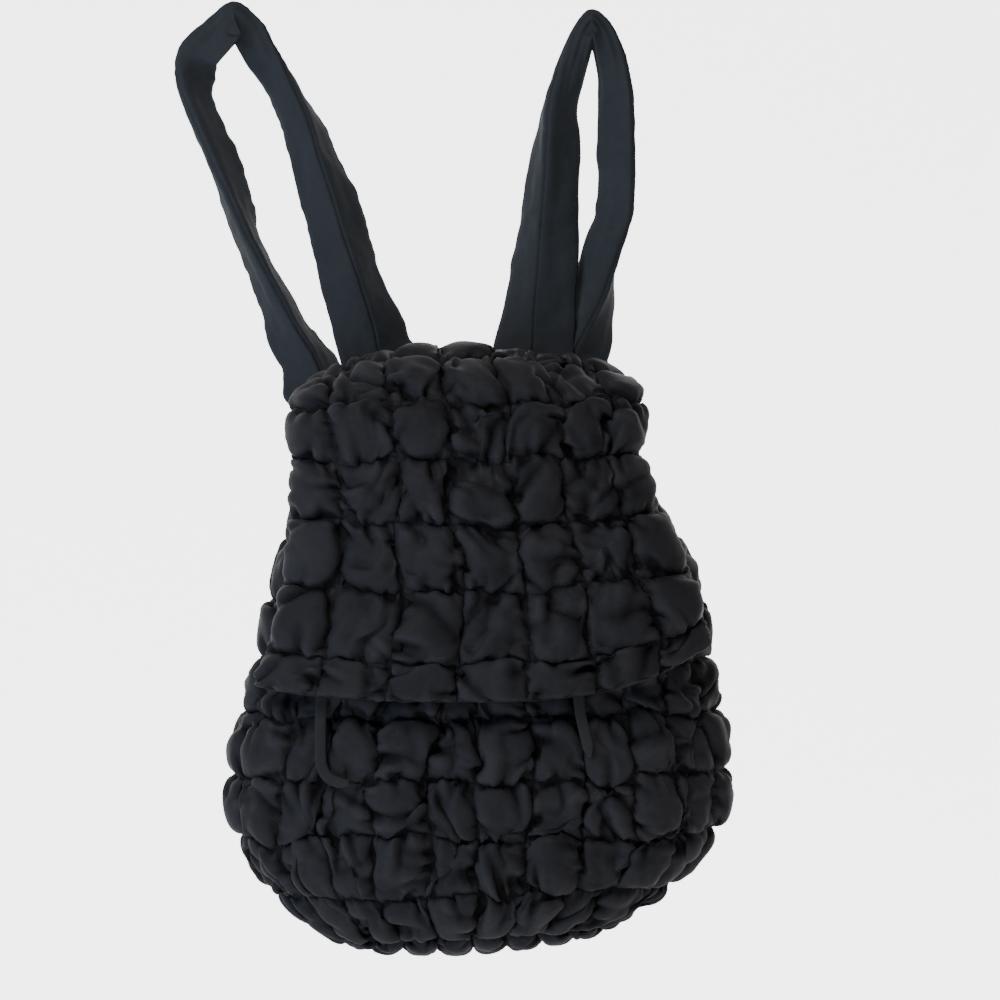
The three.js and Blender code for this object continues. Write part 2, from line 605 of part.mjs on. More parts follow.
const bag = new THREE.Group();
function add(name, geometry, material) {
  const mesh = new THREE.Mesh(geometry, material);
  mesh.name = name;
  bag.add(mesh);
}

add("front_panel", wallPanel("front"), shell);
add("back_panel", wallPanel("back"), shell);
add("base_panel", basePanel(), shell);
add("flap", flapPanel(), shell);
const leftLine = strapLine(LEFT_STRAP);
add("strap_left", foldedBand(leftLine, STRAP_WIDTH, STRAP_THICKNESS, 1), plain);
add("strap_right", foldedBand(strapLine(RIGHT_STRAP), STRAP_WIDTH, STRAP_THICKNESS, -1), plain);
add("drawstring_left", foldedBand(cordLine(LEFT_CORD), CORD_WIDTH, CORD_THICKNESS, 1), tape);
add("drawstring_right", foldedBand(cordLine(RIGHT_CORD), CORD_WIDTH, CORD_THICKNESS, 1), tape);

// The origin is under the highest point of the left strap, where its folded halves hang down.
const crown = leftLine.reduce((a, b) => (b.point.z > a.point.z ? b : a)).point;
bag.position.copy(crown).negate();
bag.position.z += STRAP_WIDTH / 2;

const backpack = new THREE.Group();
backpack.add(bag);
export default backpack;
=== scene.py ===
import math

import bpy
import numpy as np
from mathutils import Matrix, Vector


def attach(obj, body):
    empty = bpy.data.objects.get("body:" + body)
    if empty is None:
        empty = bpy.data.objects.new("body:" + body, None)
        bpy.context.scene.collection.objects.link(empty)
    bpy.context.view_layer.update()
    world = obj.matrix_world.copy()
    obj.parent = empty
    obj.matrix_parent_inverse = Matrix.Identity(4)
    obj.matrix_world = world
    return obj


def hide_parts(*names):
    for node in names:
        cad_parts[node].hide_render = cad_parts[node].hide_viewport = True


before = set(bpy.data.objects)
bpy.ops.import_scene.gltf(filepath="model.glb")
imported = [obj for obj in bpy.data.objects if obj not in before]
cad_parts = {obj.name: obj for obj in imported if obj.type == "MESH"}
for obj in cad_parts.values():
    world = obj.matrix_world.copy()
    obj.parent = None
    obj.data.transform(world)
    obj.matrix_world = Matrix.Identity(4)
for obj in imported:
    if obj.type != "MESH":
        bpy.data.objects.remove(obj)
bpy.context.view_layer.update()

# The view: level with the middle of the bag and from straight in front, as it hangs by its two straps.
# Nothing here is part of the bag: a pale floor and wall, and light from large soft lamps.
EYE, LENS, SENSOR = (0.1613, -1.6096, -0.2752), 96, 36
LIT_MIDDLE = (0.15, 0, -0.33)  # where the lamps point
STAGE_LEFT, STAGE_RIGHT, STAGE_FRONT = -4, 4.3, -4
FLOOR_LEVEL, WALL_BEHIND, WALL_TOP = -1, 1.6, 3
ROOM_GLOW = 0.07

eye = bpy.data.objects.new("eye", bpy.data.cameras.new("eye"))
bpy.context.collection.objects.link(eye)
eye.data.lens = LENS
eye.data.sensor_width = SENSOR
eye.location = EYE
eye.rotation_euler = (math.radians(90), 0, 0)
bpy.context.scene.camera = eye


def flat_panel(name, corners, color, glow):
    mesh = bpy.data.meshes.new(name)
    mesh.from_pydata(corners, [], [(0, 1, 2, 3)])
    panel = bpy.data.objects.new(name, mesh)
    bpy.context.collection.objects.link(panel)
    paint = bpy.data.materials.new(name)
    paint.use_nodes = True
    shader = paint.node_tree.nodes["Principled BSDF"]
    shader.inputs["Base Color"].default_value = (*color, 1)
    shader.inputs["Roughness"].default_value = 0.9
    shader.inputs["Emission Color"].default_value = (1, 1, 1, 1)
    shader.inputs["Emission Strength"].default_value = glow
    mesh.materials.append(paint)


front_left, front_right = (STAGE_LEFT, STAGE_FRONT, FLOOR_LEVEL), (STAGE_RIGHT, STAGE_FRONT, FLOOR_LEVEL)
low_left, low_right = (STAGE_LEFT, WALL_BEHIND, FLOOR_LEVEL), (STAGE_RIGHT, WALL_BEHIND, FLOOR_LEVEL)
high_left, high_right = (STAGE_LEFT, WALL_BEHIND, WALL_TOP), (STAGE_RIGHT, WALL_BEHIND, WALL_TOP)
flat_panel("floor", [front_left, front_right, low_right, low_left], (0.86, 0.86, 0.86), 0.35)
flat_panel("wall", [low_left, low_right, high_right, high_left], (0.9, 0.9, 0.9), 3.4)

# name, place, size in metres, power in watts, colour
for name, place, size, power, color in (
    ("window", (-0.75, -1.35, 1.15), 0.9, 40, (1.0, 0.985, 0.97)),
    ("room", (1.5, -1.3, 0.5), 1.6, 5, (0.96, 0.98, 1.0)),
    ("low_bounce", (-1.15, -0.95, -0.65), 1.0, 15.5, (0.42, 0.66, 1.0)),
):
    lamp = bpy.data.objects.new(name, bpy.data.lights.new(name, "AREA"))
    bpy.context.collection.objects.link(lamp)
    lamp.data.size = size
    lamp.data.energy = power
    lamp.data.color = color
    lamp.location = place
    towards_bag = Vector(LIT_MIDDLE) - lamp.location
    lamp.rotation_euler = towards_bag.to_track_quat("-Z", "Y").to_euler()
room = bpy.data.worlds.new("room")
room.use_nodes = True
room.node_tree.nodes["Background"].inputs["Color"].default_value = (1, 1, 1, 1)
room.node_tree.nodes["Background"].inputs["Strength"].default_value = ROOM_GLOW
bpy.context.scene.world = room

# The pouch's front and back: two quilts of nylon over wadding, stitched in a grid with elastic thread.
# The thread has drawn each seam in, so that every cell stands up as a puff with gathers round its edge.
# They are sewn to each other at the sides, and the mouth is drawn in by a cord in its top row.
MM = 0.001
HALF_WIDTH, HALF_DEPTH, POUCH_HEIGHT = 142 * MM, 54 * MM, 300 * MM
RIM_DROP, BACK_RISE = 52 * MM, 44 * MM
SQUARENESS = 2.35
COLUMNS, ROWS = 12, 9
QUILT_WALL = 3 * MM  # the quilt's thickness along a seam
PUFF_LIMIT = 9.8 * MM  # how high the wadding can lift the cloth
GATHER = 1.27  # the cloth's length between two seams, as a share of the room there
SEAM_WANDER = 2.1  # how far a seam of the pouch leaves its line, in mm
FINE = 24  # threads of the simulated cloth to a cell, in its last and finest pass
# threads to a cell, rounds, unevenness in mm, push of the wadding in mm, least share of their length that
# two threads in a row span when they bend
PASSES = ((6, 60, 1.0, 0.17, 0.75), (12, 90, 0.5, 0.13, 0.7), (FINE, 100, 0.12, 0.075, 0.6))
SMOOTHING_ROUNDS, SMOOTHING = 6, 0.7
WADDING_AT_SEAM, WADDING_INSIDE = 0.3, 4.3  # how far the wadding keeps the cloth up at least, in mm
# length and width as shares of a cell, and depth in mm: the least and the most of each
LONG_TUCK = ((0.65, 1.0), (0.05, 0.08), (2.6, 4.6))
SHORT_TUCK = ((0.28, 0.55), (0.04, 0.065), (2.4, 4.6))
HIGHEST_LIP, DEEPEST_TUCK = 1.5, 4.6  # in mm
# the crease depth at which the creases' painted shade in the cloth's colour is darkest
FULL_CREASE_SHADE_DEPTH = 3.6 * MM
LINING_STEPS = 4
HANG = np.array([150.52, -9.616, -183.95]) * MM  # from where the left strap hangs to the top of the bag

# One row for each seam round the pouch, from the mouth down: drop as a share of POUCH_HEIGHT, left and
# right of HALF_WIDTH, front and back of HALF_DEPTH, tilt of POUCH_HEIGHT, rise of BACK_RISE, and hold,
# which gives the middle columns more of the seam than the outer ones.
POUCH_SEAMS = np.array([
    (0.0, 0.68, 0.55, 0.6, 0.63, 0, 1, 0),
    (0.115, 0.73, 0.63, 0.7, 0.68, 0, 0.7, 0),
    (0.228, 0.79, 0.79, 0.79, 0.74, 0, 0.4, 0),
    (0.335, 0.86, 0.89, 0.87, 0.79, 0, 0.15, 0),
    (0.445, 0.91, 0.925, 0.93, 0.83, 0, 0.04, 0),
    (0.555, 0.975, 0.965, 0.98, 0.85, 0.003, 0, 0.04),
    (0.672, 1.03, 1.0, 1.0, 0.85, 0.006, 0, 0.08),
    (0.788, 0.985, 0.965, 0.96, 0.82, 0.008, 0, 0.15),
    (0.9, 0.83, 0.78, 0.83, 0.72, 0.012, 0, 0.24),
    (0.98, 0.58, 0.5, 0.58, 0.5, 0.012, 0, 0.24),
])


def along_rows(table, at):
    """A smooth row of the table at each place of `at`, which counts in rows."""
    at = np.clip(np.atleast_1d(at), 0, len(table) - 1)
    first = np.minimum(at.astype(int), len(table) - 2)
    t = (at - first).reshape(-1, *[1] * (table.ndim - 1))
    a, b, c, d = (table[np.clip(first + k, 0, len(table) - 1)] for k in (-1, 0, 1, 2))
    slope_b, slope_c = (c - a) / 2, (d - b) / 2
    cubic = 2 * b - 2 * c + slope_b + slope_c
    square = -3 * b + 3 * c - 2 * slope_b - slope_c
    return ((cubic * t + square) * t + slope_b) * t + b


def across_pouch(seam):
    """Half the width of a level section of the pouch, and how far right its middle is."""
    _, left, right = seam[:3]
    return HALF_WIDTH * (left + right) / 2, HALF_WIDTH * (right - left) / 2


def round_pouch(seam, angle, outset, through):
    """Points of a level section of the pouch, at angles from the middle of its front or back."""
    front, back = seam[3:5]
    half, middle = across_pouch(seam)
    heading = 1 if through == "front" else -1
    depth = -HALF_DEPTH * front - outset if through == "front" else HALF_DEPTH * back + outset
    power = 2 / SQUARENESS
    x = middle + heading * (half + outset) * np.sign(angle) * np.abs(np.sin(angle)) ** power
    return x, depth * np.abs(np.cos(angle)) ** power


def pouch_line(seam, share, through):
    """The line round the front or the back at one height, at shares of its length."""
    angle = np.radians(np.linspace(-90, 90, 201))
    x, y = round_pouch(seam, angle, 0, through)
    lengths = np.concatenate([[0], np.cumsum(np.hypot(np.diff(x), np.diff(y)))])
    t = 2 * share - 1
    held = (1 + t * (1 + seam[7] * (1 - np.abs(t) ** 3))) / 2
    x, y = round_pouch(seam, np.interp(held * lengths[-1], lengths, angle), 0, through)
    drop, _, _, front, back, tilt, rise, _ = seam
    half, middle = across_pouch(seam)
    to_back = (1 + np.clip(y / (HALF_DEPTH * np.where(y < 0, front, back)), -1, 1)) / 2
    z = -RIM_DROP - drop * POUCH_HEIGHT + tilt * POUCH_HEIGHT * (x - middle) / half
    return np.stack([x, y, z + rise * BACK_RISE * to_back**2], -1) + HANG


def ripples(u, v, seed, pace, count=18):
    """Smooth unevenness of about 1 over a pair of coordinates, with a few waves to a unit at `pace`."""
    chance = np.random.default_rng(seed)
    total = np.zeros(np.broadcast(u, v).shape)
    for _ in range(count):
        ku, kv = chance.normal(0, 2 * math.pi * pace, 2)
        total += np.sin(ku * u + kv * v + chance.uniform(0, 2 * math.pi))
    return total * math.sqrt(2 / count)


def unit(vectors):
    return vectors / np.maximum(np.linalg.norm(vectors, axis=-1, keepdims=True), 1e-12)


def facing_out(grid):
    """The outward direction at each point of a grid whose rows run right and whose columns run down."""
    return unit(np.cross(np.gradient(grid, axis=0), np.gradient(grid, axis=1)))


def wandering(grid, out, u, v, columns, rows, most, seed):
    """The grid with its seams up to about `most` mm off their lines, as sewn ones are, but for its edges."""
    edge = np.minimum(np.minimum(u, columns - u), np.minimum(v, rows - v))
    wander = np.clip(edge, 0, 1) * most * MM
    step_u, step_v = unit(np.gradient(grid, axis=1)), unit(np.gradient(grid, axis=0))
    moved = grid + (wander * ripples(u, v, seed, 0.45))[..., None] * step_u
    moved += (wander * ripples(u, v, seed + 1, 0.45))[..., None] * step_v
    moved += (0.6 * wander * ripples(u, v, seed + 2, 0.3))[..., None] * out
    moved += (0.5 * wander * ripples(u * 5, v * 5, seed + 3, 0.5))[..., None] * (step_u + step_v)
    return moved


def finer(grid, factor):
    """The same surface with more threads, straight between the old ones."""
    for axis in (0, 1):
        old = np.arange(grid.shape[axis])
        new = np.linspace(0, old[-1], old[-1] * factor + 1)
        low = np.minimum(new.astype(int), old[-1] - 1)
        t = (new - low).reshape([-1 if a == axis else 1 for a in range(3)])
        grid = np.take(grid, low, axis) * (1 - t) + np.take(grid, low + 1, axis) * t
    return grid


def each_cell(values, threads):
    """Spreads one value for each cell over the cloth's threads."""
    return np.repeat(np.repeat(values, threads, 0), threads, 1)


def tucks(columns, rows, threads, seed):
    """How far creases that run in from the seams draw each puff in, with a raised lip beside each."""
    chance = np.random.default_rng(seed)
    drawn = np.zeros((rows * threads + 1, columns * threads + 1))
    v, u = np.mgrid[0 : 1 : (threads + 1) * 1j, 0 : 1 : (threads + 1) * 1j]
    for row in range(rows):
        for column in range(columns):
            cell = np.zeros_like(u)
            for k in range(chance.integers(5, 9)):
                long = k < 2 and chance.random() < 0.6
                place = chance.uniform(0.06, 0.94)
                side = chance.integers(4)
                start_u, start_v = ((place, 0), (1, place), (place, 1), (0, place))[side]
                heading = math.radians((90, 180, 270, 0)[side]) + chance.normal(0, 0.5)
                length, width, depth = (chance.uniform(*span) for span in (LONG_TUCK if long else SHORT_TUCK))
                along = (u - start_u) * math.cos(heading) + (v - start_v) * math.sin(heading)
                beside = (v - start_v) * math.cos(heading) - (u - start_u) * math.sin(heading)
                beside = (beside + chance.normal(0, 0.35) * along**2) * chance.choice((-1, 1))
                fade = np.clip(1 - along / length, 0, 1) ** 0.65 * (along > -0.02)
                fold = np.exp(-((np.abs(beside) / width) ** 1.15))
                lip = np.exp(-(((beside - 2.4 * width) / (1.5 * width)) ** 2))
                cell += depth * fade * (fold - 0.42 * lip)
            low_v, low_u = row * threads, column * threads
            block = drawn[low_v : low_v + threads + 1, low_u : low_u + threads + 1]
            block += np.clip(cell, -HIGHEST_LIP, DEEPEST_TUCK)
    return drawn * MM


def filled_quilt(stitched, columns, rows, seed, height):
    """Simulates the cloth over a grid of stitched cells: more cloth than room, pushed out by the wadding.

    `stitched(threads)` gives the surface that the seams lie on, with that many threads to a cell.
    The cloth keeps its length along and across and resists creasing. Its seams stay where they are sewn.
    `height` is how full the puffs are, for all rows or for each. Gives the cloth, and the painted shade of
    its creases as a share of the darkest, a little below zero for painted light on the lips.
    """
    chance = np.random.default_rng(seed)
    fuller = chance.uniform(-0.05, 0.07, (rows, columns))
    skewed = chance.uniform(-0.085, 0.085, (rows, columns))
    full = chance.uniform(0.88, 1, (rows, columns))
    tilt_u = chance.uniform(-0.4, 0.4, (rows, columns))
    tilt_v = chance.uniform(-0.4, 0.4, (rows, columns))
    full = full * np.reshape(height, (-1, 1))
    cloth = None
    for threads, rounds, jitter, push, straight in PASSES:
        base = stitched(threads)
        out = facing_out(base)
        count_down, count_across = base.shape[:2]
        at_u, at_v = np.arange(count_across) % threads, np.arange(count_down) % threads
        sewn = (at_u[None, :] == 0) | (at_v[:, None] == 0)
        loose = (~sewn)[..., None].astype(float)
        first = cloth is None
        if first:
            side_u, side_v = np.abs(2 * at_u / threads - 1), np.abs(2 * at_v / threads - 1)
            dome = (1 - side_u[None, :] ** 5) * (1 - side_v[:, None] ** 5)
            cloth = base + out * (dome * 5.5 * MM)[..., None]
        else:
            cloth = finer(cloth, 2)
        cloth = cloth + chance.normal(0, jitter * MM, cloth.shape) * loose
        u, v = np.arange(count_across)[None, :] / threads, np.arange(count_down)[:, None] / threads
        gap_u, gap_v = np.abs(u - np.round(u)), np.abs(v - np.round(v))
        if first:
            cloth = cloth + out * (ripples(u, v, seed + 5, 0.7, 30) * 1.6 * MM)[..., None] * loose
        else:
            beside_u = np.exp(-gap_u / 0.2) * ripples(u * 1.2, v * 7, seed + 3, 0.6)
            beside_v = np.exp(-gap_v / 0.2) * ripples(u * 7, v * 1.2, seed + 4, 0.6)
            cloth = cloth + facing_out(cloth) * ((beside_u + beside_v) * 1.1 * MM)[..., None] * loose
        cloth = np.where(sewn[..., None], base, cloth)

        wide = each_cell(GATHER + fuller, threads)
        lean = each_cell(skewed, threads)
        rest_u = np.linalg.norm(np.diff(base, axis=1), axis=-1) * np.vstack([wide, wide[-1:]])
        rest_v = np.linalg.norm(np.diff(base, axis=0), axis=-1) * np.hstack([wide, wide[:, -1:]])
        two_u, two_v = straight * (rest_u[:, :-1] + rest_u[:, 1:]), straight * (rest_v[:-1] + rest_v[1:])
        corner = np.hypot(rest_u[:-1], rest_v[:, :-1])
        falling, rising = corner * (1 + lean), corner * (1 - lean)
        step_u, step_v = np.gradient(base, axis=1), np.gradient(base, axis=0)
        pace_u, pace_v = np.linalg.norm(step_u, axis=-1), np.linalg.norm(step_v, axis=-1)
        unit_u, unit_v = unit(step_u), unit(step_v)
        room_left, room_right = pace_u * at_u[None, :], pace_u * (threads - at_u)[None, :]
        room_up, room_down = pace_v * at_v[:, None], pace_v * (threads - at_v)[:, None]

        def pull(a, b, rest, give):
            span = cloth[b] - cloth[a]
            length = np.linalg.norm(span, axis=-1)
            excess = (length - rest) / np.maximum(length, 1e-9)
            excess = np.where(excess > 0, excess, give * excess)[..., None] * span
            weight_a, weight_b = loose[a], loose[b]
            share = excess / np.maximum(weight_a + weight_b, 1)
            cloth[a] += share * weight_a
            cloth[b] -= share * weight_b

        def stiffen(a, b, least, strength):
            span = cloth[b] - cloth[a]
            length = np.linalg.norm(span, axis=-1)
            lack = np.minimum(length - least, 0) / np.maximum(length, 1e-9)
            push = (strength * lack)[..., None] * span / 2
            cloth[a] += push * loose[a]
            cloth[b] -= push * loose[b]

        every = slice(None)
        fullness, lean_u, lean_v = (
            np.pad(each_cell(values, threads), ((0, 1), (0, 1)), "edge") for values in (full, tilt_u, tilt_v)
        )
        inner = np.clip(11 * np.minimum(gap_u, gap_v), 0, 1)
        wadding = (WADDING_AT_SEAM + WADDING_INSIDE * fullness * inner) * MM
        dome = 0.52 + 0.48 * np.sqrt(4 * gap_u * (1 - gap_u) * 4 * gap_v * (1 - gap_v))
        tilted = 1 + lean_u * (at_u[None, :] / threads - 0.5) + lean_v * (at_v[:, None] / threads - 0.5)
        crown = PUFF_LIMIT * fullness * dome * np.clip(tilted, 0.6, 1.05)
        moved = np.zeros_like(cloth)
        for _ in range(rounds):
            was = cloth.copy()
            cloth += moved * 0.6 + facing_out(cloth) * loose * (push * MM)
            for start in (0, 1):
                ends = [slice(start, n - 1, 2) for n in (count_down, count_across)]
                next_ends = [slice(start + 1, n, 2) for n in (count_down, count_across)]
                pull((every, ends[1]), (every, next_ends[1]), rest_u[:, start::2], 0.9)
                pull((ends[0], every), (next_ends[0], every), rest_v[start::2], 0.9)
                pull((ends[0], slice(0, -1)), (next_ends[0], slice(1, None)), falling[start::2], 0.5)
                pull((ends[0], slice(1, None)), (next_ends[0], slice(0, -1)), rising[start::2], 0.5)
            for start in range(4):
                a, b = slice(start, count_across - 2, 4), slice(start + 2, count_across, 4)
                stiffen((every, a), (every, b), two_u[:, start::4], 0.5)
                a, b = slice(start, count_down - 2, 4), slice(start + 2, count_down, 4)
                stiffen((a, every), (b, every), two_v[start::4], 0.5)
            # Each puff stays on its own side of the stitching, and between the wadding's limits.
            away = cloth - base
            aside = (away * unit_u).sum(-1)
            cloth += ((np.clip(aside, -room_left, room_right) - aside)[..., None]) * unit_u * loose
            aside = (away * unit_v).sum(-1)
            cloth += ((np.clip(aside, -room_up, room_down) - aside)[..., None]) * unit_v * loose
            lift = ((cloth - base) * out).sum(-1)
            bounded = np.clip(lift, wadding, crown + 0.55 * np.maximum(lift - crown, 0))
            cloth += (bounded - lift)[..., None] * out * loose
            moved = (cloth - was) * loose
    # The wadding keeps the cloth from crumpling small.
    away_from_seams = np.clip(7 * np.minimum(gap_u, gap_v), 0, 1)[..., None] * loose
    for _ in range(SMOOTHING_ROUNDS):
        near = sum(np.roll(cloth, step, axis) for axis in (0, 1) for step in (1, -1)) / 4
        cloth += (near - cloth) * away_from_seams * SMOOTHING
    # The thread gathers the cloth into short creases beside the seams, and a few folds cross the puffs.
    creases = np.zeros(base.shape[:2])
    for gap, fast_u, fast_v in ((gap_u, 1.3, 5.2), (gap_v, 5.2, 1.3)):
        sharp = np.clip(1 - np.abs(ripples(u * fast_u, v * fast_v, seed + 6, 0.5)) / 0.5, 0, 1) ** 1.2
        reach = 0.17 + 0.1 * ripples(u * fast_u * 0.5, v * fast_v * 0.5, seed + 7, 0.5)
        creases += 0.9 * MM * sharp * np.exp(-((gap / np.clip(reach, 0.06, 0.4)) ** 2))
    creases += tucks(columns, rows, FINE, seed + 8)
    cloth -= facing_out(cloth) * creases[..., None] * loose
    # The creases' depth is also returned as painted shade for the cloth's colour, darkest at the depth above,
    # with a little painted light where a lip stands up.
    return cloth, np.clip(creases / FULL_CREASE_SHADE_DEPTH, -0.3, 1)


def smooth_piece(name, points, faces, cells):
    """A mesh object with smooth faces, and a UV map that says where each point is in the cells."""
    mesh = bpy.data.meshes.new(name)
    mesh.from_pydata(points.tolist(), [], faces)
    mesh.update()
    corner_points = np.empty(len(mesh.loops), np.int32)
    mesh.loops.foreach_get("vertex_index", corner_points)
    mesh.uv_layers.new(name="cells").data.foreach_set("uv", cells[corner_points].ravel())
    mesh.polygons.foreach_set("use_smooth", np.ones(len(faces), bool))
    piece = bpy.data.objects.new(name, mesh)
    bpy.context.collection.objects.link(piece)
    return piece


def quilt_mesh(name, stitched, columns, rows, seed, height=1.0):
    """One closed piece: the puffed cloth, the smooth lining behind it, and the turned edges between."""
    cloth, folds = filled_quilt(stitched, columns, rows, seed, height)
    lining = stitched(LINING_STEPS, QUILT_WALL)
    down, across = cloth.shape[:2]
    low_down, low_across = lining.shape[:2]
    points = np.concatenate([cloth.reshape(-1, 3), lining.reshape(-1, 3)])
    outer = np.arange(down * across).reshape(down, across)
    inner = down * across + np.arange(low_down * low_across).reshape(low_down, low_across)
    quads = np.stack([outer[:-1, :-1], outer[1:, :-1], outer[1:, 1:], outer[:-1, 1:]], -1).reshape(-1, 4)
    behind = np.stack([inner[:-1, :-1], inner[:-1, 1:], inner[1:, 1:], inner[1:, :-1]], -1).reshape(-1, 4)
    faces = [*quads.tolist(), *behind.tolist()]
    lined = len(behind)
    for rim, edge in (
        (outer[:, 0], inner[:, 0]),
        (outer[-1], inner[-1]),
        (outer[::-1, -1], inner[::-1, -1]),
        (outer[0, ::-1], inner[0, ::-1]),
    ):
        ratio = (len(rim) - 1) // (len(edge) - 1)
        for k in range(len(edge) - 1):
            run = rim[k * ratio : (k + 1) * ratio + 1].tolist()
            faces.append([*run[::-1], edge[k], edge[k + 1]])
            lined += 1
    v, u = np.mgrid[0 : rows : down * 1j, 0 : columns : across * 1j]
    low_v, low_u = np.mgrid[0 : rows : low_down * 1j, 0 : columns : low_across * 1j]
    cells = np.concatenate([np.stack([u, v], -1).reshape(-1, 2), np.stack([low_u, low_v], -1).reshape(-1, 2)])
    piece = smooth_piece(name, points, faces, cells)
    # The cloth's painted shade in its creases, kept in the point attribute "fold"; the lining has none.
    shade = np.concatenate([folds.ravel(), np.zeros(low_down * low_across)])
    piece.data.attributes.new("fold", "FLOAT", "POINT").data.foreach_set("value", shade)
    cloths = np.repeat([0, 1], [len(quads), lined]).astype(np.int32)
    piece.data.polygons.foreach_set("material_index", cloths)
    piece.data.materials.append(shell_cloth)
    piece.data.materials.append(lining_cloth)
    return piece


class Shade:
    """A socket of a material, for sums written as Python expressions."""

    def __init__(self, tree, socket=None):
        self.tree, self.socket = tree, socket

    def node(self, kind, settings, sockets, output=0):
        made = self.tree.nodes.new(kind)
        for key, value in settings.items():
            setattr(made, key, value)
        for key, value in sockets.items():
            if isinstance(value, Shade):
                self.tree.links.new(value.socket, made.inputs[key])
            else:
                made.inputs[key].default_value = value
        return Shade(self.tree, made.outputs[output])

    def sum(self, operation, *terms):
        return self.node("ShaderNodeMath", {"operation": operation}, dict(enumerate(terms)))

    def __add__(self, other):
        return self.sum("ADD", self, other)

    __radd__ = __add__

    def __sub__(self, other):
        return self.sum("SUBTRACT", self, other)

    def __rsub__(self, other):
        return self.sum("SUBTRACT", other, self)

    def __mul__(self, other):
        return self.sum("MULTIPLY", self, other)

    __rmul__ = __mul__

    def __pow__(self, other):
        return self.sum("POWER", self, other)

    def mixed(self, low, high):
        """Two colours, mixed by this value."""
        return self.node("ShaderNodeMix", {"data_type": "RGBA"}, {0: self, 6: low, 7: high}, output=2)

    def noise(self, scale, detail=3.0, rough=0.55, stretch=None):
        place = self
        if stretch:
            place = self.node("ShaderNodeVectorMath", {"operation": "MULTIPLY"}, {0: self, 1: stretch})
        return self.node(
            "ShaderNodeTexNoise", {}, {"Vector": place, "Scale": scale, "Detail": detail, "Roughness": rough}
        )


WEAVE = 2 * math.pi * 90  # 90 threads to a cell


def soft_nylon(name, dark, light, rough, gloss, quilted=False):
    """Matte black nylon in a fine weave. Where quilted, it has gathers, dark thread and painted shade along
    its seams, and painted shade in its creases.
    """
    cloth = bpy.data.materials.new(name)
    cloth.use_nodes = True
    tree = cloth.node_tree
    shader = tree.nodes["Principled BSDF"]
    start = Shade(tree)
    place = start.node("ShaderNodeTexCoord", {}, {}, output=3)
    cells = start.node("ShaderNodeUVMap", {"uv_map": "cells"}, {})
    split = cells.node("ShaderNodeSeparateXYZ", {}, {0: cells})
    across, down = split, Shade(tree, split.socket.node.outputs[1])
    patches = place.noise(28, 4, 0.6)
    dye = place.noise(210, 2, 0.5)
    tone = patches * 0.75 + dye * 0.25
    relief = place.noise(95, 4, 0.6) * 0.5 + place.noise(330, 2, 0.5) * 0.16
    if quilted:
        near_u = 1 - 2 * start.sum("PINGPONG", across, 0.5)
        near_v = 1 - 2 * start.sum("PINGPONG", down, 0.5)
        beside_u, beside_v = near_u**5, near_v**5
        gathers_u = cells.noise(1, 2, 0.5, (2.2, 15, 1)) * beside_u
        gathers_v = cells.noise(1, 2, 0.5, (15, 2.2, 1)) * beside_v
        relief = relief + (gathers_u + gathers_v) * 1.5
        # Darker along the seams: partly the dark thread, partly painted shade in the seams' grooves.
        at_seam = start.sum("MAXIMUM", near_u, near_v) ** 24
        # Painted shade in the creases, and a little painted light on their raised lips, from the "fold"
        # attribute.
        fold = start.node("ShaderNodeAttribute", {"attribute_name": "fold"}, {}, output=2)
        tone = tone * (1 - 0.8 * at_seam) - 0.62 * fold
    weave = start.sum("SINE", across * WEAVE) * start.sum("SINE", down * WEAVE)
    fine = start.node("ShaderNodeBump", {}, {"Strength": 0.12, "Distance": 0.0001, "Height": weave})
    relief_sockets = {"Strength": 0.5, "Distance": 0.0011, "Height": relief, "Normal": fine}
    bump = start.node("ShaderNodeBump", {}, relief_sockets)
    links = tree.links
    links.new(tone.mixed((*dark, 1), (*light, 1)).socket, shader.inputs["Base Color"])
    links.new((rough + 0.1 * (patches - 0.5)).socket, shader.inputs["Roughness"])
    links.new(bump.socket, shader.inputs["Normal"])
    shader.inputs["Specular IOR Level"].default_value = gloss
    return cloth


shell_cloth = soft_nylon(
    "black_nylon", (0.0035, 0.0035, 0.0042), (0.0256, 0.025, 0.0287), rough=0.64, gloss=0.08, quilted=True
)
lining_cloth = soft_nylon(
    "black_lining", (0.008, 0.008, 0.0095), (0.014, 0.014, 0.0165), rough=0.75, gloss=0.08
)


def pouch_wall(through, seed):
    """The stitched surface of the front or the back. Its seams wander a little, as sewn ones do."""

    def stitched(threads, sunk=0.0):
        across, down = COLUMNS * threads, ROWS * threads
        u = np.linspace(0, 1, across + 1)
        v = np.linspace(0, ROWS, down + 1)
        seams = along_rows(POUCH_SEAMS, v)
        grid = np.array([pouch_line(seam, u, through) for seam in seams])
        out = facing_out(grid)
        u, v = u[None, :] * COLUMNS, v[:, None]
        return wandering(grid, out, u, v, COLUMNS, ROWS, SEAM_WANDER, seed) - out * sunk

    return stitched


for through, seed in (("front", 11), ("back", 47)):
    panel = quilt_mesh(f"quilt_{through}", pouch_wall(through, seed), COLUMNS, ROWS, seed)
    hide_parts(f"{through}_panel")
    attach(panel, "root")

# The base: an oval quilt of the same cloth and wadding, eight puffs by four, sewn to the walls' lowest seam.
# It sags a little in the middle, where the bag's own weight and what it carries press on it.
BASE_COLUMNS, BASE_ROWS = 8, 4
BASE_SAG = 9 * MM


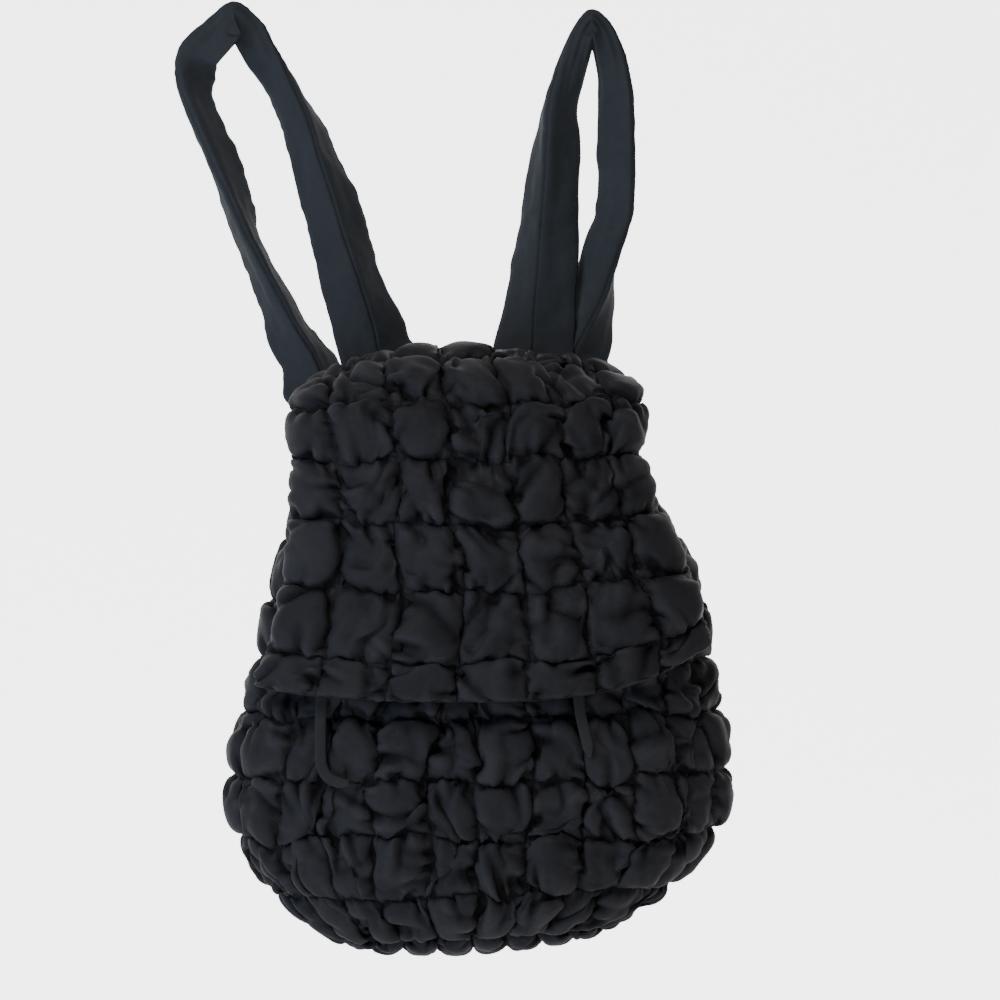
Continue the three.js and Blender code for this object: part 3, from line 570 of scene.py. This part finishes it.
def base_bed(threads, sunk=0.0):
    """The stitched surface of the base, spread between the four sides of the walls' lowest seam."""
    across, down = BASE_COLUMNS * threads, BASE_ROWS * threads
    share = np.linspace(0, 1, COLUMNS * threads + 1)[:-1]
    ring = np.concatenate([pouch_line(POUCH_SEAMS[-1], share, side) for side in ("front", "back")])
    start = round((COLUMNS - BASE_COLUMNS) / 2 * threads)

    def rim(k):
        return ring[(start + k) % len(ring)]

    s, t = np.meshgrid(np.linspace(0, 1, across + 1), np.linspace(0, 1, down + 1))
    i, j = np.meshgrid(np.arange(across + 1), np.arange(down + 1))
    s3, t3 = s[..., None], t[..., None]
    grid = rim(i) * (1 - t3) + rim(2 * across + down - i) * t3 + rim(-j) * (1 - s3) + rim(across + j) * s3
    grid = grid - rim(0) * (1 - s3) * (1 - t3) - rim(across) * s3 * (1 - t3)
    grid = grid - rim(-down) * (1 - s3) * t3 - rim(across + down) * s3 * t3
    grid[..., 2] -= BASE_SAG * 16 * s * (1 - s) * t * (1 - t)
    return grid - facing_out(grid) * sunk


base = quilt_mesh("quilt_base", base_bed, BASE_COLUMNS, BASE_ROWS, seed=83)
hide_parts("base_panel")
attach(base, "root")

# The flap: a quilt seven puffs wide, sewn along the back of the mouth, that falls over mouth and front.
# Its last row is a low hem, and its edges are rolled to the underside, where the smooth lining begins.
FLAP_COLUMNS = 7
FLAP_DROP = 211 * MM
FLAP_CLEAR = 17 * MM  # from the pouch's seams to the flap's, over the pouch's puffs and the flap's own wall
FLAP_WANDER = 1.8  # how far a seam of the flap leaves its line, in mm
HEM_HEIGHT = 0.62  # of the puffs of the last row, as a share of the others'
PUFF = 8 * MM
HINGE_WRAP, FLAP_BOW = 60, 2.4
# The seams above the mouth: half and shift as shares of HALF_WIDTH, reach in the middle and at the ends
# of HALF_DEPTH, and the fall in the middle, left and right of FLAP_DROP
FLAP_OVER = (
    (0.65, -0.07, 0.36, 0.4, 0.018, 0.128, 0.11),
    (0.68, -0.07, -0.36, 0.16, 0.035, 0.142, 0.115),
)
# The seams that hang in front: wrap round the pouch to the left and right in degrees, the fall at the left,
# in the middle and at the right as shares of FLAP_DROP, and how far the seam stands off, in shares of PUFF
FLAP_FRONT = (
    (82, 82, 0.19, 0.17, 0.16, 0),
    (72, 72, 0.32, 0.322, 0.305, 0),
    (62, 66, 0.488, 0.498, 0.46, 0),
    (57, 62, 0.665, 0.685, 0.63, 0),
    (57, 60, 0.85, 0.87, 0.76, 0.2),
    (57, 58, 0.945, 0.98, 0.825, 0.55),
)
FLAP_LEAD = (0, 0, 0, 0.03, 0.035, 0.02, 0.012, 0.012, 0.012)  # how far right the middle columns stand
FLAP_ROWS = len(FLAP_OVER) + len(FLAP_FRONT)


def seam_at(z, through):
    """The level section of the pouch at a height below the top of the bag."""
    lift = BACK_RISE if through == "back" else 0
    heights = -RIM_DROP - POUCH_SEAMS[:, 0] * POUCH_HEIGHT + POUCH_SEAMS[:, 6] * lift
    return along_rows(POUCH_SEAMS, np.interp(-z, -heights, np.arange(ROWS + 1)))[0]


def lengths_along(line):
    """How far each point of a line is from its start, along the line."""
    return np.concatenate([[0], np.cumsum(np.linalg.norm(np.diff(line, axis=0), axis=-1))])


def flap_bed(threads, sunk=0.0):
    """The stitched surface of the flap, through its seam with the back and the lines of the two tables."""
    s = np.linspace(-1, 1, FLAP_COLUMNS * threads + 1)
    mouth = POUCH_SEAMS[0]
    x, y = round_pouch(mouth, np.radians(-HINGE_WRAP * s), 0, "back")
    to_back = (1 + np.clip(y / (HALF_DEPTH * mouth[4]), -1, 1)) / 2
    lines = [np.stack([x, y, -RIM_DROP + BACK_RISE * to_back**2], -1)]
    for half, shift, reach, end_reach, middle, left, right in FLAP_OVER:
        bow = np.abs(s) ** FLAP_BOW
        fall = middle + (np.where(s < 0, left, right) - middle) * bow
        y = reach + (end_reach - reach) * bow
        lines.append(np.stack([HALF_WIDTH * (shift + half * s), HALF_DEPTH * y, -FLAP_DROP * fall], -1))
    for wrap_left, wrap_right, left, middle, right, flare in FLAP_FRONT:
        fall = FLAP_DROP * (middle + (np.where(s < 0, left, right) - middle) * s * s)
        angle = np.radians(s * np.where(s < 0, wrap_left, wrap_right))
        line = []
        for turn, height in zip(angle, -fall):
            x, y = round_pouch(seam_at(height, "front"), turn, FLAP_CLEAR + PUFF * flare, "front")
            line.append((x, y, height))
        lines.append(np.array(line))
    share = np.linspace(0, 1, len(s))
    for line, lead in zip(lines, FLAP_LEAD):
        lengths = lengths_along(line)
        even = lengths[-1] * (share + lead * np.sin(math.pi * share))
        line[:] = np.stack([np.interp(even, lengths, line[:, axis]) for axis in range(3)], -1)
    places = np.linspace(0, FLAP_ROWS, FLAP_ROWS * threads + 1)
    grid = along_rows(np.array(lines), places) + HANG
    out = facing_out(grid)
    out[0, :, 2] = 0
    out[0] = unit(out[0])
    u, v = (s[None, :] + 1) / 2 * FLAP_COLUMNS, places[:, None]
    return wandering(grid, out, u, v, FLAP_COLUMNS, FLAP_ROWS, FLAP_WANDER, 5) - out * sunk


flap_heights = [1] * (FLAP_ROWS - 1) + [HEM_HEIGHT]
flap = quilt_mesh("quilt_flap", flap_bed, FLAP_COLUMNS, FLAP_ROWS, seed=29, height=flap_heights)
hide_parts("flap")
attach(flap, "root")

# The drawstring: one soft flat woven cord that runs round the mouth in the top row of the quilt.
# Its two ends come out through buttonholes in the front, under the flap, and hang on the puffs.
CORD_WIDTH, CORD_THICKNESS = 6.5 * MM, 1.6 * MM
CORD_LIFT = 1.4 * MM
TAPERED = 9  # the last points of a cord, along which it narrows
# x and z below the top of the bag, in mm
LEFT_END = (
    (-78, -68), (-79.5, -82), (-81.8, -98), (-84.2, -114), (-86.4, -130), (-88.4, -146), (-90, -162),
    (-91.3, -178), (-92.2, -192), (-92.9, -206), (-93.3, -219), (-93.4, -230), (-93.3, -240),
    (-91.9, -247.5), (-88, -252.4), (-82.6, -254.6), (-76.5, -254.8),
)
RIGHT_END = (
    (52, -68), (52.4, -84), (52.8, -100), (53.2, -117), (53.6, -134), (54, -151), (54.5, -168),
    (55, -184), (55.8, -199), (57, -213), (59.6, -225), (61.6, -234), (62.8, -240),
)
CELL_LENGTH = 35 * MM  # of cord or strap that counts as one cell of the weave


def tube_mesh(name, rings, material, uv_scale):
    """A closed skin over rings of points, with flat ends."""
    count, sides = rings.shape[:2]
    ids = np.arange(count * sides).reshape(count, sides)
    after = np.roll(ids, -1, 1)
    faces = np.stack([ids[:-1], ids[1:], after[1:], after[:-1]], -1).reshape(-1, 4).tolist()
    faces += [ids[0].tolist(), ids[-1, ::-1].tolist()]
    around = np.linspace(0, 1, sides, endpoint=False)
    u, v = np.meshgrid(around * uv_scale, lengths_along(rings.mean(1)) / CELL_LENGTH)
    piece = smooth_piece(name, rings.reshape(-1, 3), faces, np.stack([u, v], -1).reshape(-1, 2))
    piece.data.materials.append(material)
    return piece


cord_cloth = soft_nylon(
    "black_cord", (0.012, 0.0122, 0.0132), (0.025, 0.0255, 0.0265), rough=0.75, gloss=0.08
)
for side, route, pointed in (("left", LEFT_END, 0.5), ("right", RIGHT_END, 0.22)):
    route = np.array(route) * MM
    knots = np.linspace(0, len(route) - 1, (len(route) - 1) * 8 + 1)
    flat_line = along_rows(route, knots)
    spine = []
    for x, z in flat_line:
        seam = seam_at(z, "front")
        half, middle = across_pouch(seam)
        across = abs(x - middle) / (half + PUFF + CORD_LIFT)
        depth = HALF_DEPTH * seam[3] + PUFF + CORD_LIFT
        spine.append((x, -depth * (1 - across**SQUARENESS) ** (1 / SQUARENESS), z))
    spine = np.array(spine) + HANG
    ahead = unit(np.gradient(spine, axis=0))
    outward = unit(np.cross(np.cross(ahead, (0, -1, 0)), ahead))
    sideways = np.cross(ahead, outward)
    narrow = np.ones(len(spine))
    narrow[-TAPERED:] = np.linspace(1, pointed, TAPERED)
    angle = np.linspace(0, 2 * math.pi, 20, endpoint=False)
    reach = np.sign(np.cos(angle)) * np.abs(np.cos(angle)) ** 0.6 * CORD_WIDTH / 2
    lift = np.sin(angle) * CORD_THICKNESS / 2
    rings = spine[:, None] + narrow[:, None, None] * reach[None, :, None] * sideways[:, None]
    rings = rings + lift[None, :, None] * outward[:, None]
    cord = tube_mesh(f"cord_{side}", rings, cord_cloth, 0.5)
    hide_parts(f"drawstring_{side}")
    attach(cord, "root")
    length = float(np.linalg.norm(np.diff(spine, axis=0), axis=-1).sum())

# The shoulder straps: soft bands of smooth nylon, doubled over thin wadding, with a seam along the middle.
# Each is sewn into the top of the back and into a lower corner, and folds lengthways where it hangs.
STRAP_WIDTH, STRAP_THICKNESS = 50 * MM, 3.6 * MM
STRAP_RISE, STRAP_LEAN, STRAP_SINK = 210 * MM, 34 * MM, 0.3 * MM
BROAD = 0.72  # the share of the back's half width that is followed, short of its steep sides
BAND_POINTS, BAND_STEPS = 61, 14  # points across the band, and steps between two rows of its table
CROWN_ROW = 11  # the row of either table from which the strap comes down behind
# side: x as a share of HALF_WIDTH. up: z as a share of STRAP_RISE, or of POUCH_HEIGHT where below zero.
# back: y as a share of STRAP_WIDTH. open, facing: degrees between the folded halves, and where the middle
# seam points, from 0 out of the strap's loop to 90 forwards. wide: the share of the width that is kept.
LEFT_STRAP = (
    (-0.37, -0.15, 0, 176, 90, 1), (-0.405, -0.07, 0, 165, 90, 1), (-0.45, 0, 0, 150, 86, 1),
    (-0.475, 0.076, 0, 132, 86, 1), (-0.535, 0.207, 0, 104, 82, 1), (-0.592, 0.323, 0, 92, 86, 1),
    (-0.644, 0.44, 0, 82, 83, 1), (-0.7, 0.557, 0, 64, 80, 1), (-0.751, 0.673, 0, 52, 74, 1),
    (-0.82, 0.775, 0, 36, 68, 0.97), (-0.878, 0.86, 0, 30, 42, 0.88), (-0.955, 0.95, 0, 28, 16, 0.82),
    (-1.06, 0.995, 0, 28, 5, 0.86), (-1.19, 0.93, 0, 28, 12, 0.92), (-1.285, 0.86, 0, 30, 28, 0.96),
    (-1.29, 0.78, 0, 44, 62, 1), (-1.25, 0.7, 0, 36, 76, 1), (-1.16, 0.557, 0, 40, 76, 1),
    (-1.08, 0.44, 0, 36, 85, 1), (-1.02, 0.345, 0, 27, 88, 1), (-0.945, 0.245, 0.03, 28, 90, 1),
    (-0.87, 0.149, 0.07, 42, 88, 1), (-0.79, 0.05, 0.11, 60, 90, 1), (-0.72, -0.02, 0.13, 92, 92, 1),
    (-0.675, -0.08, 0.14, 132, 90, 1), (-0.62, -0.16, 0.12, 160, 90, 1), (-0.58, -0.28, 0.04, 174, 90, 1),
    (-0.58, -0.44, 0, 176, 90, 1), (-0.6, -0.62, 0, 178, 90, 1), (-0.64, -0.79, 0, 180, 90, 1),
    (-0.67, -0.93, 0, 180, 90, 1),
)
RIGHT_STRAP = (
    (0.2, -0.15, 0, 176, 90, 1), (0.212, -0.07, 0, 174, 90, 1), (0.218, 0.003, 0, 165, 88, 1),
    (0.227, 0.12, 0, 131, 82, 1), (0.244, 0.265, 0, 110, 79, 1), (0.257, 0.382, 0, 96, 76, 1),
    (0.27, 0.498, 0, 81, 74, 1), (0.279, 0.615, 0, 64, 70, 1), (0.292, 0.731, 0, 44, 66, 0.94),
    (0.34, 0.85, 0, 34, 40, 0.76), (0.395, 0.93, 0, 30, 20, 0.62), (0.465, 0.972, 0, 28, 8, 0.6),
    (0.54, 0.935, 0, 28, 20, 0.62), (0.597, 0.855, 0, 28, 40, 0.76), (0.63, 0.745, 0, 27, 52, 0.94),
    (0.641, 0.62, 0, 26, 52, 1), (0.641, 0.5, 0, 26, 52, 1), (0.632, 0.39, 0, 30, 48, 1),
    (0.57, 0.27, 0.04, 44, 50, 1), (0.51, 0.15, 0.1, 62, 62, 1), (0.445, 0.061, 0.14, 82, 74, 1),
    (0.395, -0.01, 0.16, 108, 82, 1), (0.38, -0.08, 0.14, 138, 90, 1), (0.385, -0.16, 0.12, 160, 90, 1),
    (0.42, -0.28, 0.04, 172, 90, 1), (0.47, -0.44, 0, 176, 90, 1), (0.53, -0.62, 0, 178, 90, 1),
    (0.59, -0.79, 0, 180, 90, 1), (0.64, -0.93, 0, 180, 90, 1),
)


def back_at(x, z):
    """How far back the puffs of the back are at a place, and how they slope there."""
    seam = seam_at(z, "back")
    half, middle = across_pouch(seam)
    half += PUFF
    depth = HALF_DEPTH * seam[4] + PUFF
    across = np.clip((x - middle) / half, -BROAD, BROAD)
    full = 1 - abs(across) ** SQUARENESS
    steep = abs(across) ** (SQUARENESS - 1) * full ** (1 / SQUARENESS - 1)
    return depth * full ** (1 / SQUARENESS), -np.sign(across) * steep * depth / half


def strap_piece(side, table, turn, seed):
    """One strap. `turn` is 1 for a loop that rises on its right side and falls on its left, and else -1."""
    rows = np.array(table)
    places = np.linspace(0, len(rows) - 1, (len(rows) - 1) * BAND_STEPS + 1)
    aside, up, back, opening, facing, wide = along_rows(rows, places).T
    x, z = aside * HALF_WIDTH, np.where(up > 0, up * STRAP_RISE, up * POUCH_HEIGHT)
    top_y = back_at(0, 0)[0]
    y, lean = np.empty_like(x), np.empty_like(x)
    for k, (px, pz) in enumerate(zip(x, z)):
        lying, slope = back_at(px, min(pz, 0))
        t = np.clip(pz / (2 * STRAP_WIDTH), 0, 1)
        free = t * t * (3 - 2 * t)
        y[k] = lying + (top_y - STRAP_LEAN * pz / STRAP_RISE - lying) * free
        lean[k] = math.atan(slope) * (1 - free)
    y += back * STRAP_WIDTH + STRAP_THICKNESS / 2 - STRAP_SINK
    spine = np.stack([x, y, z], -1) + HANG
    ahead = np.gradient(spine, axis=0)
    ahead[:, 1] = 0
    ahead = unit(ahead)
    outward = np.stack([ahead[:, 2], np.zeros_like(x), -ahead[:, 0]], -1) * turn
    angle = np.radians(facing)[:, None]
    seamward = outward * np.cos(angle) + np.array([0, -1, 0]) * np.sin(angle)
    turned = seamward.copy()
    turned[:, 0] = seamward[:, 0] * np.cos(lean) - seamward[:, 1] * np.sin(lean)
    turned[:, 1] = seamward[:, 0] * np.sin(lean) + seamward[:, 1] * np.cos(lean)
    seamward = unit(turned)
    sideways = unit(np.cross(seamward, ahead))

    # Across the band, q runs from one edge to the other, and the cloth bends round the seam at its middle.
    q = np.linspace(-1, 1, BAND_POINTS)
    q = np.sign(q) * np.abs(q) ** 1.35
    bend = (math.pi / 2 - np.radians(opening) / 2)[:, None] * np.tanh(q / 0.07)[None, :]
    at_seam = BAND_POINTS // 2
    run, dip = (
        np.hstack([np.zeros((len(x), 1)), np.cumsum((way[:, 1:] + way[:, :-1]) / 2 * np.diff(q), axis=1)])
        for way in (np.cos(bend), np.sin(bend))
    )
    run, dip = run - run[:, [at_seam]], dip - dip[:, [at_seam]]
    half = (STRAP_WIDTH / 2 * wide)[:, None]
    s = (lengths_along(spine) / (10 * MM))[:, None]
    qq = q[None, :]
    slack = np.clip(places - CROWN_ROW, 0, 1)[:, None]  # the leg behind the crown hangs slack
    scallop = 1 + (0.015 + 0.04 * slack) * ripples(s * 0.6, np.sign(qq) * 7.3, seed, 0.45) * np.abs(qq) ** 4
    middle = spine[:, None] + sideways[:, None] * (run * half * scallop)[..., None]
    middle = middle - seamward[:, None] * (dip * half)[..., None]
    normal = seamward[:, None] * np.cos(bend)[..., None] + sideways[:, None] * np.sin(bend)[..., None]
    bunched = np.clip((1.02 - wide) * 4, 0, 1)[:, None]
    folds = 0.35 * MM * ripples(s * 0.32, qq * 1.1, seed + 1, 0.5) * (0.4 + np.abs(qq))
    folds = folds + 0.9 * MM * bunched * ripples(s * 0.1, qq * 2.6, seed + 2, 0.6)
    gathers = 0.12 * MM * ripples(s * 3.2, qq * 0.8, seed + 3, 0.5) * np.exp(-((qq / 0.16) ** 2))
    ruffle = 0.35 * MM * ripples(s * 1.1, qq * 0.5, seed + 4, 0.45) * np.abs(qq) ** 5
    middle = middle + normal * (folds + gathers + ruffle)[..., None]
    soft = STRAP_THICKNESS / 2 * np.clip(1 - np.abs(qq) ** 9, 0.02, 1) ** 0.5
    sewn = 1 - 0.62 * np.exp(-((qq / 0.02) ** 2)) - 0.3 * np.exp(-(((np.abs(qq) - 0.93) / 0.02) ** 2))
    thick = (soft * sewn * (1 + 0.1 * ripples(s * 0.6, qq * 2, seed + 5, 0.6)))[..., None] * normal
    rings = np.concatenate([(middle + thick)[:, ::-1], (middle - thick)[:, 1:-1]], axis=1)
    if turn > 0:
        rings = rings[:, ::-1]
    strap = tube_mesh(f"strap_band_{side}", rings, strap_cloth, 3.0)
    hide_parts(f"strap_{side}")
    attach(strap, "root")


strap_cloth = soft_nylon(
    "black_strap_nylon", (0.0165, 0.0185, 0.021), (0.0305, 0.0335, 0.038), rough=0.75, gloss=0.03
)
strap_piece("left", LEFT_STRAP, turn=1, seed=61)
strap_piece("right", RIGHT_STRAP, turn=-1, seed=71)
